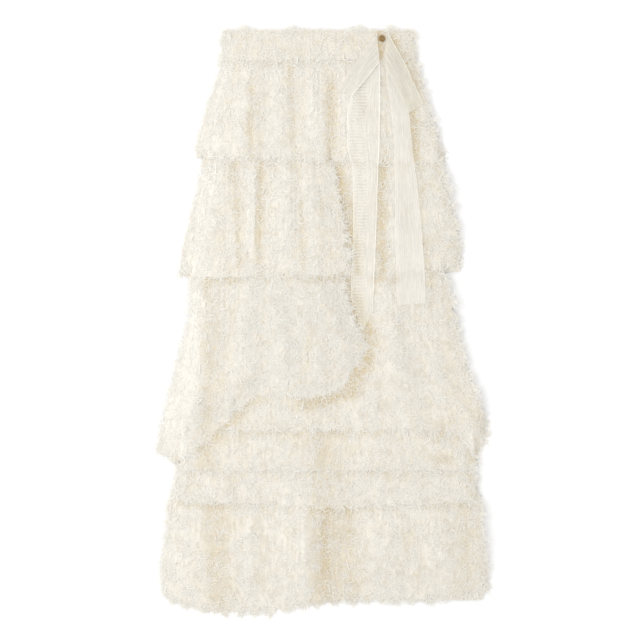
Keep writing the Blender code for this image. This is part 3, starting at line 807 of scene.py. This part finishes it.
def wavy_edges(panel, across, down, rng):
    """x and drop at these shares of a panel, with its free edges wandering in and out."""
    x, drop = plan(panel, across, down)
    for name, wave in (("hem", HEM_WAVE), ("seam", SEAM_WAVE)):
        if name in panel.free:
            drop = drop + wave * ripples(x, 0 * down, rng, EDGE_WAVES) * ramp(HEM_WAVE_FROM, 1.0, down)
    for name, edge in (("left", 1.0 - across), ("right", across)):
        if name in panel.free:
            x = x + HEM_WAVE * ripples(drop, 0 * down, rng, EDGE_WAVES) * ramp(SIDE_WAVE_FROM, 1.0, edge)
    return x, drop


def rest(panel, height, flutes, under, across, down, thick):
    """The heights of a sheet brought down, or up, onto what lies under it."""
    width, length = size_of(panel)
    if thick < CLOTH:
        height = np.minimum(height, soften(under, *UNDER_SOFT) + THIN_LIFT)
        height = np.maximum(height, under + THIN_CLEAR)
    if "seam" in panel.free:
        height = blend(height, under[-1:] + SEAM_LIFT, ramp(-SEAM_REST, 0.0, (down - 1) * length))
    if "hem" in panel.free:
        low = under + HEM_LIFT + (flutes.clip(FLUTE_LOW, FLUTE_HIGH) - FLUTE_LOW) * HEM_FLUTE
        height = blend(height, np.minimum(height, low), ramp(-HEM_REST, 0.0, (down - 1) * length))
    if "lap" in panel.free:
        low = under + LAP_LIFT
        height = blend(height, np.minimum(height, low), ramp(-LAP_REST, 0.0, (across - 1) * width))
    if not {"top", "sewn"} & set(panel.free):
        height = blend(under + thick, height, ramp(0.0, TOP_REST, down * length))
    height = np.maximum(np.maximum(height, under + SHEET_CLEAR), FLOOR_CLEAR)
    if thick == CLOTH:
        height = np.maximum(soften(height, *SHEET_SOFT), under + SHEET_CLEAR)
    return height


def lay_sheet(panel, pile, rng, finish, thick, cell=SHEET_CELL, covers=()):
    """Lays a panel's sheet on its solid's form, with its gathers, ripples and folds."""
    width, length = size_of(panel)
    columns, rows = round(width / cell[0]) + 1, round(length / cell[1]) + 1
    across, down = np.meshgrid(np.linspace(0, 1, columns), np.linspace(0, 1, rows))
    x, drop = wavy_edges(panel, across, down, rng)
    spots = world(x, drop, 0 * x)
    form = fill_gaps(measure(solid_tree(panel.node), spots, from_above=False))
    form = soften(form, FORM_SOFT[0] / cell[0], FORM_SOFT[1] / cell[1])
    form = blend(form, soften(form, FORM_REACH / cell[0], 0), FORM_EASE)
    depth, sunk = fold_fields(panel, x, drop)
    gathers = ripples(x, down, rng, GATHERS)
    flutes = ripples(x, down, rng, FLUTES) - depth
    height = form + thick / 2 + (gathers + flutes) * panel.ripple
    height = rest(panel, height, flutes, pile.height(spots), across, down, thick)
    points = world(x, drop, height)
    pile.add(points)
    place = np.stack([across * width * MM, down * length * MM], axis=-1)
    piece = grid_piece(panel.node + "_cloth", points, place, finish, face_up=panel not in BACK)
    # painted shade and painted light: by the cloth's hollows, by side, beside the hems on it, and in its main
    # folds
    painted_shade = (soften(height, HOLLOW_REACH / cell[0], 0) - height) / HOLLOW_DEPTH
    for name, edge in (("left", across), ("right", 1.0 - across)):
        if name in panel.free:
            inner = ramp(0.0, EDGE_REACH, edge * width)
            painted_shade = blend(EDGE_PAINTED_LIGHT_AND_SHADE[name], painted_shade, inner)
    for ring in covers:
        beside = distance_outside(ring, x.ravel(), drop.ravel()).reshape(x.shape).clip(0.0)
        patchy = (HEM_SHADE_MEAN + HEM_SHADE_SWING * ripples(x, down, rng, SHADE_WAVES)).clip(0.0, 1.0)
        painted_shade = painted_shade + HEM_SHADE * patchy * np.exp(-((beside / HEM_SHADE_REACH) ** 2))
    painted_shade = soften(np.clip(painted_shade + OPEN + sunk, 0.0, 1.0), *HOLLOW_SOFT)
    attribute = piece.data.attributes.new("painted_shade", "FLOAT", "POINT")
    attribute.data.foreach_set("value", painted_shade.astype(np.float32).ravel())
    return Sheet(points, painted_shade), piece


# -------- tufts


def strands(roots, normals, painted_shade, headings, rng, strand):
    """Curled strips of thread from these roots: their points, and their place on the strand map, which is a
    thread's painted shade, partly its own tone, and the share of its length."""
    count = len(roots)
    steps = np.linspace(0.0, 1.0, STRAND_STEPS + 1)
    side = unit(np.cross((0.0, 1.0, 0.0), normals))
    ahead = np.cross(normals, side)
    long = rng.uniform(*strand.length, count) * MM
    tilt = blend(rng.uniform(*strand.rise, count)[:, None], rng.uniform(*strand.fall, count)[:, None], steps)
    sway = rng.uniform(0.0, 2.0 * np.pi, count)[:, None]
    heading = headings[:, None] + rng.normal(0.0, strand.curl, count)[:, None] * steps
    heading = heading + STRAND_SWAY * (np.sin(5.0 * steps + sway) - np.sin(sway))
    level = np.cos(heading)[..., None] * side[:, None] + np.sin(heading)[..., None] * ahead[:, None]
    tangent = np.cos(tilt)[..., None] * level + np.sin(tilt)[..., None] * normals[:, None]
    stride = tangent[:, :-1] * (long / STRAND_STEPS)[:, None, None]
    path = roots[:, None] + np.concatenate([np.zeros((count, 1, 3)), np.cumsum(stride, axis=1)], axis=1)
    flat = unit(np.cross(tangent, normals[:, None]))
    roll = rng.normal(0.0, STRAND_ROLL, count)[:, None]
    roll = roll + rng.normal(0.0, STRAND_TWIST, count)[:, None] * steps
    broad = rng.uniform(*strand.width, count)[:, None] * blend(1.0, STRAND_TAPER, steps) * MM / 2
    reach = flat * np.cos(roll)[..., None] + np.cross(flat, tangent) * np.sin(roll)[..., None]
    reach = reach * broad[..., None]
    points = np.stack([path - reach, path + reach], axis=2)
    points[..., 2] = np.maximum(points[..., 2], STRAND_FLOOR * MM)
    # painted shade of the thread's place, some of its own tone, and its kind's painted shade
    shade = blend(painted_shade[:, 0], rng.uniform(0, 1, count), OWN_SHADE) + strand.sunk
    shade = np.broadcast_to(shade[:, None, None], points.shape[:3])
    along = np.broadcast_to(steps[None, :, None], points.shape[:3])
    return points, np.stack([shade, along], axis=-1)


def strand_piece(name, batches, finish):
    """All the strands of a piece as one mesh, with their faces up."""
    points, place = (np.concatenate(part) for part in zip(*batches))
    count, corners = len(points), 2 * (STRAND_STEPS + 1)
    strip = np.arange(STRAND_STEPS)[:, None] * 2 + np.array([0, 1, 3, 2])
    quads = (np.arange(count)[:, None, None] * corners + strip).reshape(-1, 4)
    spots = points.reshape(-1, 3)
    diagonals = spots[quads[:, 2]] - spots[quads[:, 0]], spots[quads[:, 3]] - spots[quads[:, 1]]
    down = np.cross(*diagonals)[:, 2] < 0
    quads[down] = quads[down][:, ::-1]
    mesh = bpy.data.meshes.new(name)
    mesh.from_pydata(spots.tolist(), [], quads.tolist())
    lay_map(mesh, "strand", place)
    mesh.materials.append(finish)
    return add_object(name, mesh)


def scatter(sheet, across, down, rng, each, spread):
    """Places for so many roots round each of these places of a sheet, none of them off it."""
    stray = rng.normal(0.0, 1.0, (2, len(across) * each)) * np.array([spread, spread * SPREAD_DOWN])[:, None]
    places = np.repeat([across, down], each, axis=1) + stray / sheet.size[:, None]
    return 1.0 - abs(1.0 - abs(places))


def spray(sheet, places, rng, strand, lean=None, sunk=0.0):
    """A strand at each of these places of a sheet, with a share of them leaning one way."""
    roots, normals, painted_shade = sheet.at(*places)
    # sunk adds painted shade, and painted light where it is below 0
    painted_shade = painted_shade + np.reshape(sunk, (-1, 1))
    headings = rng.uniform(0.0, 2.0 * np.pi, len(roots))
    if lean is not None:
        heading, swing, share = lean
        leaning = rng.uniform(0.0, 1.0, len(roots)) < share
        headings[leaning] = heading + rng.normal(0.0, swing, leaning.sum())
    return strands(roots, normals, painted_shade, headings, rng, strand)


def tufts_of(panel, sheet, hems, bow, rng):
    """The threads of a front panel: a staggered grid of tufts, the nap all over it, and frayed edges."""
    columns, rows = panel.tufts
    hang = (-math.pi / 2, NAP_SWING, NAP_DOWN)
    spots = np.array([(i + j % 2 / 2, j) for i in range(columns + 1) for j in range(rows + 1)])
    across = spots[:, 0] / columns + rng.normal(0, TUFT_STRAY / columns, len(spots))
    down = spots[:, 1] / rows + rng.normal(0, TUFT_STRAY / rows, len(spots))
    tufts = scatter(sheet, across, down, rng, round(TUFT_STRANDS * panel.nap), TUFT_SPREAD)
    centres = np.array([across, down])
    tufts = tufts[:, bare(panel, *tufts, hems + bow, TUFT_CLEAR)]
    sprays = round(math.prod(size_of(panel)) / NAP_PATCH * panel.nap)
    nap = scatter(sheet, *rng.uniform(0, 1, (2, sprays)), rng, NAP_STRANDS, NAP_SPREAD)
    nap = nap[:, bare(panel, *nap, hems, -NAP_UNDER)]
    apart = (nap[:, :, None] - centres[:, None]) * sheet.size[:, None, None]
    # painted shade on the nap between tufts and painted light beside them
    between = TUFT_GAP * (ramp(*TUFT_REACH, np.linalg.norm(apart, axis=0).min(axis=1)) - 0.5)
    above = bare(panel, *nap, bow, 0.0)
    batches = [spray(sheet, tufts, rng, TUFT), spray(sheet, nap[:, above], rng, NAP, hang, between[above])]
    if not above.all():
        batches.append(spray(sheet, nap[:, ~above], rng, PRESSED, hang))
    return batches + frayed_edges(panel, sheet, hems + bow, rng)


def frayed_edges(panel, sheet, covers, rng):
    """Threads along the free edges: a thin even fringe, with clumps that stand out."""
    batches = []
    for name, edge in EDGES.items():
        if name not in panel.free or (name == "hem" and "foot" in panel.free):
            continue
        run = size_of(panel)[edge.upright]
        for pitch, each, strand in ((edge.pitch, 1, FRINGE), (edge.clumps, edge.each, CLUMP)):
            along = np.arange(0.5, run / pitch) * pitch / run
            along = along + rng.normal(0.0, FRINGE_STRAY * pitch / run, len(along))
            level = np.full(len(along), edge.at)
            across, down = (level, along) if edge.upright else (along, level)
            places = scatter(sheet, across, down, rng, each, FRINGE_SPREAD)
            places = places[:, bare(panel, *places, covers, 0.0)]
            if places.size:
                batches.append(spray(sheet, places, rng, strand, (edge.lean, FRINGE_SWING, 1.0)))
    return batches


def flat_tufts_of(panel, sheet, rng):
    """The tufts of a back panel, pressed flat between it and the floor."""
    count = round(math.prod(size_of(panel)) / FLAT_PATCH)
    places = scatter(sheet, *rng.uniform(0, 1, (2, count)), rng, FLAT_STRANDS, FLAT_SPREAD)
    points, place = spray(sheet, places, rng, FLAT)
    points[..., 2] = rng.uniform(STRAND_FLOOR, FLAT_TOP, len(points))[:, None, None] * MM
    return [(points, place)]


# -------- bow


def lay_loop(loop, pile, finish):
    """A bow loop: ribbon that runs out on top, turns round its far end and comes back below."""
    rows, columns = LOOP_GRID
    tree = solid_tree(loop.node)
    share = np.linspace(0.0, 1.0, rows)
    x, near, x_far, far = (table_column(loop.rails, share, pick) for pick in (1, 2, 3, 4))
    x, drop = np.linspace(x, x_far, columns, axis=1), np.linspace(near, far, columns, axis=1)
    spots = world(x, drop, 0 * x)
    top = fill_gaps(measure(tree, spots, from_above=True)) - THIN / 2
    low = fill_gaps(measure(tree, spots, from_above=False)) + THIN / 2
    top, low = (soften(field, *LOOP_SOFT) for field in (top, low))
    under = soften(pile.height(spots), *LOOP_UNDER)
    low = np.minimum(low, under + LOOP_LIFT)
    arch = LOOP_ARCH * blend(LOOP_ARCH_END, 1.0, np.sin(np.pi * share[:, None]))
    top = np.minimum(top + LOOP_ARCH, low + arch)
    run = unit(np.stack([x[-1] - x[0], drop[-1] - drop[0]], axis=-1))
    turn = []
    for angle in np.radians((30, 60, 90, 120, 150)):
        out = LOOP_BEND * math.sin(angle)
        height = (top[-1] + low[-1]) / 2 + (top[-1] - low[-1]) / 2 * math.cos(angle)
        turn.append(world(x[-1] + run[:, 0] * out, drop[-1] + run[:, 1] * out, height))
    points = np.concatenate([world(x, drop, top), np.array(turn), world(x, drop, low)[::-1]])
    return grid_piece(loop.node + "_cloth", points, ribbon_map(points), finish)


def ribbon_map(points):
    """The share of a ribbon's width and the length along it, in metres, at each point of its grid."""
    rows, columns = points.shape[:2]
    middle = points[:, columns // 2]
    along = np.concatenate([[0.0], np.cumsum(np.linalg.norm(np.diff(middle, axis=0), axis=1))])
    return np.stack(np.meshgrid(np.linspace(0, 1, columns), along), axis=-1)


def barrel(finish):
    """The eyelet's barrel, a short plug inside its ring, in brass tones painted as the shade in its hole."""
    bpy.ops.mesh.primitive_cylinder_add(
        vertices=24, radius=BARREL_RADIUS * MM, depth=BARREL_DEPTH * MM, location=eyelet_middle
    )
    piece = bpy.context.object
    piece.name = "bow_eyelet_barrel"
    bpy.ops.object.transform_apply(location=True)
    piece.data.materials.append(finish)
    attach(piece, "root")


# -------- skirt


def settle(cloth, panel, tufts=()):
    """Hangs a cloth piece and its tufts from the root, and hides the solid that it stands for."""
    for piece in (cloth, *tufts):
        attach(piece, "root")
    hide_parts(panel.node)


def dress():
    """Lays and finishes every piece of the skirt."""
    rng = np.random.default_rng(SEED)
    tulle, thread = tulle_finish(), thread_finish()
    rings = {panel.node: ring_of(panel) for panel in BACK + FRONT + TAILS}
    for loop in LOOPS:
        rails = np.array(loop.rails)
        rings[loop.node] = np.concatenate([rails[:, 1:3], rails[::-1, 3:]])
    bow = [rings[piece.node] for piece in TAILS + LOOPS]
    pile = Pile()
    for panel in BACK:
        sheet, cloth = lay_sheet(panel, pile, rng, tulle, THIN, cell=BACK_CELL)
        tufts = strand_piece(panel.node + "_tufts", flat_tufts_of(panel, sheet, rng), thread)
        settle(cloth, panel, [tufts])
    for panel in FRONT:
        hems = [rings[name] for name in panel.covered]
        sheet, cloth = lay_sheet(panel, pile, rng, tulle, CLOTH, covers=hems)
        tufts = strand_piece(panel.node + "_tufts", tufts_of(panel, sheet, hems, bow, rng), thread)
        settle(cloth, panel, [tufts])
    for panel, finish in zip(TAILS, (
        ribbon_finish("sheer_ladder_ribbon", 0.5, (0.6, 0.9), "#F1EEE2", "#FFFFFC"),
        # painted light: this ribbon's ground is lighter, against the softbox's light falling off to the right
        ribbon_finish("sheer_ribbon", 0.0, (0.5, 0.6), "#F7F4EB", "#FFFFFD"),
    )):
        sheet, cloth = lay_sheet(panel, pile, rng, finish, THIN, cell=RIBBON_CELL)
        place = ribbon_map(sheet.points)
        place[..., 1] = sheet.points[0, 0, 1] - sheet.points[..., 1]  # level rungs, down to a pointed foot
        lay_map(cloth.data, "cut", place)
        settle(cloth, panel)
    for loop, finish in zip(LOOPS, (
        ribbon_finish("sheer_loop_ribbon", 0.0, (0.45, 0.9), "#EBE8DB", "#FFFDF5"),
        ribbon_finish("sheer_turned_ribbon", 0.0, (0.9, 0.3), "#E7E2D3", "#FDFAF0"),
    )):
        settle(lay_loop(loop, pile, finish), loop)
    eyelet = frame["nodes"]["bow_eyelet"]
    eyelet.data.materials.clear()
    eyelet.data.materials.append(brass_finish("aged_brass", "#6B4A22", "#B98D4C"))
    # the plug's colours are painted shade of the eyelet's hole
    barrel(brass_finish("painted_eyelet_hole_shade", "#6E583A", "#BCA27A"))


studio()
dress()
